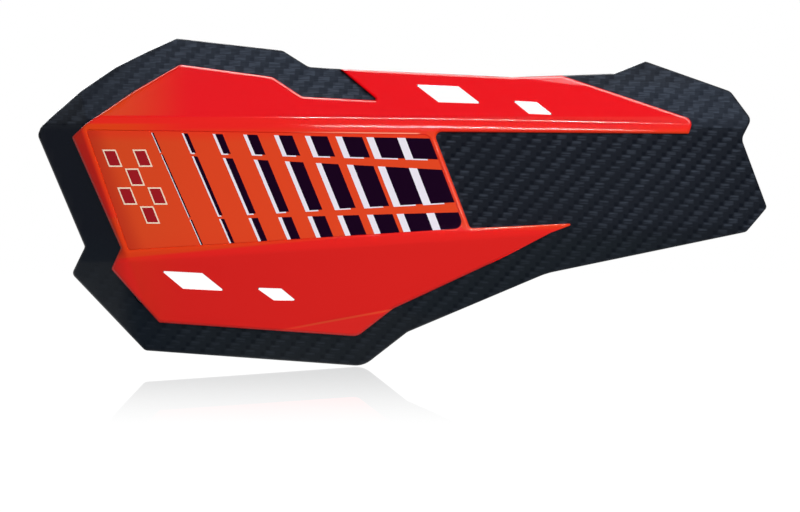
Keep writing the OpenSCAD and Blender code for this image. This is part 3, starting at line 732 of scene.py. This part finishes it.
def film_print():
    """Orange printed film, redder near its top and low down, with painted shade by the crease at
    its outer end.
    """
    finish, tree, shader = new_finish("film_orange")
    where, (x, _, z) = places_in_mm(tree)
    outer = ramp(tree, x, -150.0, -195.0)
    low = ramp(tree, z, -18.0, -40.0)
    by_top = ramp(tree, z, 12.5, 17.0)
    # Painted shade beside the end crease.
    painted_shade_by_crease = ramp(tree, past_end_crease(tree, x, z), 9.0, 0.5)
    colour = blend_colours(tree, outer, (0.69, 0.056, 0.0150), (0.64, 0.063, 0.0150))
    colour = blend_colours(tree, product(tree, low, 0.35), colour, (0.70, 0.010, 0.010))
    colour = blend_colours(tree, product(tree, by_top, 0.4), colour, (0.80, 0.014, 0.010))
    colour = blend_colours(tree, product(tree, painted_shade_by_crease, 0.6), colour, (0.42, 0.018, 0.010))
    add_bump(tree, shader, noise(tree, where, 900.0, 2.0), 0.06, 0.00004)
    tree.links.new(colour, shader.inputs["Base Color"])
    shader.inputs["Roughness"].default_value = 0.2
    shader.inputs["Specular IOR Level"].default_value = 0.04
    return finish


def ink(name, colour, worn):
    """Screen-printed ink, a little uneven."""
    finish, tree, shader = new_finish(name)
    where, _ = places_in_mm(tree)
    blot = product(tree, noise(tree, where, 260.0, 3.0), 0.5)
    mixed = blend_colours(tree, blot, colour, worn)
    tree.links.new(mixed, shader.inputs["Base Color"])
    shader.inputs["Roughness"].default_value = 0.3
    shader.inputs["Specular IOR Level"].default_value = 0.03
    return finish


def widen_first_bar(bars):
    """Widen the first column's bars, so that they keep their width down to their lower ends."""
    FIRST_X, BAR_TOP, SLANT = -175.0, 16.7, 0.443
    WHITE, REACH, WIDER, KEEP = 0.3, 1.2, 0.18, 0.0076
    p = coords(bars.data)
    along = p[:, 0] - (FIRST_X + SLANT * (BAR_TOP - p[:, 2]))
    right_edge = (along > WHITE + 0.05) & (along < REACH)
    p[right_edge, 0] += WIDER + KEEP * (BAR_TOP - p[right_edge, 2])
    set_coords(bars.data, p)


film = laid_flat("decal_film", "film", (RECESS, FILM_FRONT))
bend(film, FILM_FRONT)
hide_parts("decal_film")
wear(film, film_print())
# Each print's node, with its piece's name, its slot, its colour and its worn colour.
INKS = {
    "print_bars": ("black_bars", "print_black", (0.007, 0.0004, 0.009), (0.010, 0.0008, 0.012)),
    "print_edges": ("white_edges", "print_white", (0.78, 0.75, 0.83), (0.68, 0.62, 0.70)),
    "print_checks": ("dark_cells", "print_dark_red", (0.30, 0.008, 0.014), (0.36, 0.016, 0.020)),
    "print_check_lines": ("cream_lines", "print_cream", (0.88, 0.70, 0.54), (0.80, 0.60, 0.44)),
}
for print_node, (name, slot, colour, worn) in INKS.items():
    printed = laid_flat(print_node, name, (FILM_FRONT, PRINT_FRONT))
    if print_node == "print_bars":
        widen_first_bar(printed)
    bend(printed, PRINT_FRONT)
    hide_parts(print_node)
    wear(printed, ink(name, colour, worn))

# Screws, washers and inserts: six black pan-head screws with zinc washers hold the cover from
# behind, and two knurled brass inserts moulded into bosses take the bracket's bolts.


def turned_metal(name, colour, rough, streaks):
    """Bare or plated metal, a little darker and duller in fine streaks."""
    finish, tree, shader = new_finish(name)
    where, _ = places_in_mm(tree)
    marks = noise(tree, where, streaks, 4.0)
    darker = tuple(0.72 * c for c in colour)
    tree.links.new(blend_colours(tree, marks, colour, darker), shader.inputs["Base Color"])
    tree.links.new(plus(tree, rough, marks, 0.18), shader.inputs["Roughness"])
    shader.inputs["Metallic"].default_value = 1.0
    return finish


# Each kind of fastener, with its material's colour, least roughness and scale of streaks.
METALS = {
    "cover_screw": turned_metal("black_screw", (0.05, 0.05, 0.055), 0.32, 900.0),
    "cover_washer": turned_metal("zinc_washer", (0.60, 0.61, 0.62), 0.28, 1200.0),
    "mount_insert": turned_metal("brass_insert", (0.78, 0.56, 0.24), 0.25, 1000.0),
}
for name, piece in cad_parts.items():
    for start, finish in METALS.items():
        if name.startswith(start):
            piece.material_slots[0].material = finish

# Setting: a plain white floor just under the lobe with a faint shine, white surroundings, a soft
# key from the right of the camera, a sun from behind, and five large lamps that only glossy
# surfaces see: two for the lines on the creases, and one each for edges, shell and top.
FLOOR_Z, KEY, BACK = -0.0697, 2.75, 2.2
AROUND, SEEN_IN_GLOSS = 0.25, 0.5  # the surroundings' strength for matt and for glossy surfaces
FROM_FLOOR, FLOOR_IN_GLOSS = 0.33, 0.9  # the floor's, likewise
SHINE, SHINE_FROM, SHINE_TO = 0.66, -3.5, 0.1  # the floor's shine, and where along Y it grows
MIDDLE = Vector((-0.08325, 0.0, -0.009))
AWAY, COOL = 4, (0.86, 0.93, 1.1)  # how far off the lamps stand, and the top light's colour


def floor_white():
    """White to the eye, with a shine that fades away from the guard and a trace of its shadow."""
    finish, tree, shader = new_finish("floor_white")
    tree.nodes.remove(shader)
    out = tree.nodes["Material Output"]
    where = node(tree, "ShaderNodeTexCoord").outputs["Object"]
    y = node(tree, "ShaderNodeSeparateXYZ", {0: where}).outputs[1]
    shine = product(tree, ramp(tree, y, SHINE_FROM, SHINE_TO), SHINE)
    white = calc(tree, "SUBTRACT", 0.985, product(tree, shine, SEEN_IN_GLOSS))
    glow = node(tree, "ShaderNodeEmission", {"Color": (1, 1, 1, 1), "Strength": white})
    mirror = node(tree, "ShaderNodeBsdfGlossy", {"Color": shine, "Roughness": 0.0})
    matt = node(tree, "ShaderNodeBsdfDiffuse", {"Color": (0.06, 0.06, 0.06, 1)})
    both = node(tree, "ShaderNodeAddShader", {0: glow.outputs[0], 1: mirror.outputs[0]})
    both = node(tree, "ShaderNodeAddShader", {0: both.outputs[0], 1: matt.outputs[0]})
    path = node(tree, "ShaderNodeLightPath")
    given = plus(tree, FROM_FLOOR, path.outputs["Is Glossy Ray"], FLOOR_IN_GLOSS - FROM_FLOOR)
    light = node(tree, "ShaderNodeEmission", {"Color": (1, 1, 1, 1), "Strength": given})
    seen = node(tree, "ShaderNodeMixShader", {0: path.outputs["Is Camera Ray"],
                                              1: light.outputs[0], 2: both.outputs[0]})
    tree.links.new(seen.outputs[0], out.inputs[0])
    return finish


bpy.ops.mesh.primitive_circle_add(vertices=96, radius=40, fill_type="NGON",
                                  location=(0, 0, FLOOR_Z))
floor = bpy.context.object
floor.name = "floor"
floor.data.materials.append(floor_white())

world = bpy.data.worlds.new("surroundings")
bpy.context.scene.world = world
world.use_nodes = True
tree = world.node_tree
tree.nodes.clear()
path = node(tree, "ShaderNodeLightPath")
bare = calc(tree, "MAXIMUM", path.outputs["Is Camera Ray"], path.outputs["Is Transmission Ray"])
shiny = product(tree, path.outputs["Is Glossy Ray"], SEEN_IN_GLOSS - AROUND)
strength = calc(tree, "ADD", product(tree, bare, 1 - AROUND), calc(tree, "ADD", AROUND, shiny))
sky = node(tree, "ShaderNodeBackground", {"Color": (1, 1, 1, 1), "Strength": strength})
tree.links.new(sky.outputs[0], node(tree, "ShaderNodeOutputWorld").inputs[0])


def aim(lamp, target):
    lamp.rotation_euler = (target - lamp.location).to_track_quat("-Z", "Y").to_euler()


def add_sun(name, strength, width, towards):
    """A soft sun, as wide as an angle, that stands in a direction from the guard."""
    light = bpy.data.lights.new(name, "SUN")
    light.energy = strength
    light.angle = math.radians(width)
    sun = bpy.data.objects.new(name, light)
    bpy.context.scene.collection.objects.link(sun)
    sun.location = MIDDLE + Vector(towards) * AWAY
    aim(sun, MIDDLE)
    return sun


key = add_sun("key", KEY, 35, (0.29, -0.91, 0.3))
key.visible_glossy = False
add_sun("back", BACK, 30, (-0.25, 0.85, 0.45))
# Each lamp's name, elevation in degrees, place sideways, size, strength and the piece it lights.
LIGHTS = (
    ("crease_light_low", 13.0, -0.1, (2.8, 0.4), 200.0, cover),
    ("crease_light_high", 50.0, -0.1, (2.8, 1.2), 640.0, cover),
    ("edge_light", 112.0, 0.9, (4.6, 2.8), 20.0, cover),
    ("base_light", 46.0, 0.0, (6.0, 0.4), 18.0, base),
    ("top_light", 78.0, 0.2, (4.4, 3.6), 2.2, None),
)
for name, elevation, sideways, size, strength, lit in LIGHTS:
    light = bpy.data.lights.new(name, "AREA")
    light.shape = "RECTANGLE"
    light.size, light.size_y = size
    light.energy = strength * math.pi * size[0] * size[1]
    lamp = bpy.data.objects.new(name, light)
    bpy.context.scene.collection.objects.link(lamp)
    lamp.location = MIDDLE + Vector((sideways, -AWAY * cos(elevation), AWAY * sin(elevation)))
    aim(lamp, MIDDLE)
    lamp.visible_diffuse = False
    if lit:
        lamp.light_linking.receiver_collection = bpy.data.collections.new(name)
        lamp.light_linking.receiver_collection.objects.link(lit)
    else:
        light.color = COOL

# Camera: a long lens far in front, square to the guard, so that nothing shows perspective, as in
# the photograph.
camera_data = bpy.data.cameras.new("camera")
camera_data.lens = 1000
camera_data.sensor_width = 36
camera_data.clip_end = 200
camera = bpy.data.objects.new("camera", camera_data)
bpy.context.scene.collection.objects.link(camera)
camera.location = (-0.08303, -8.217, -0.02886)
camera.rotation_euler = (math.radians(90), 0, 0)
bpy.context.scene.camera = camera
bpy.context.scene.view_settings.view_transform = "Standard"
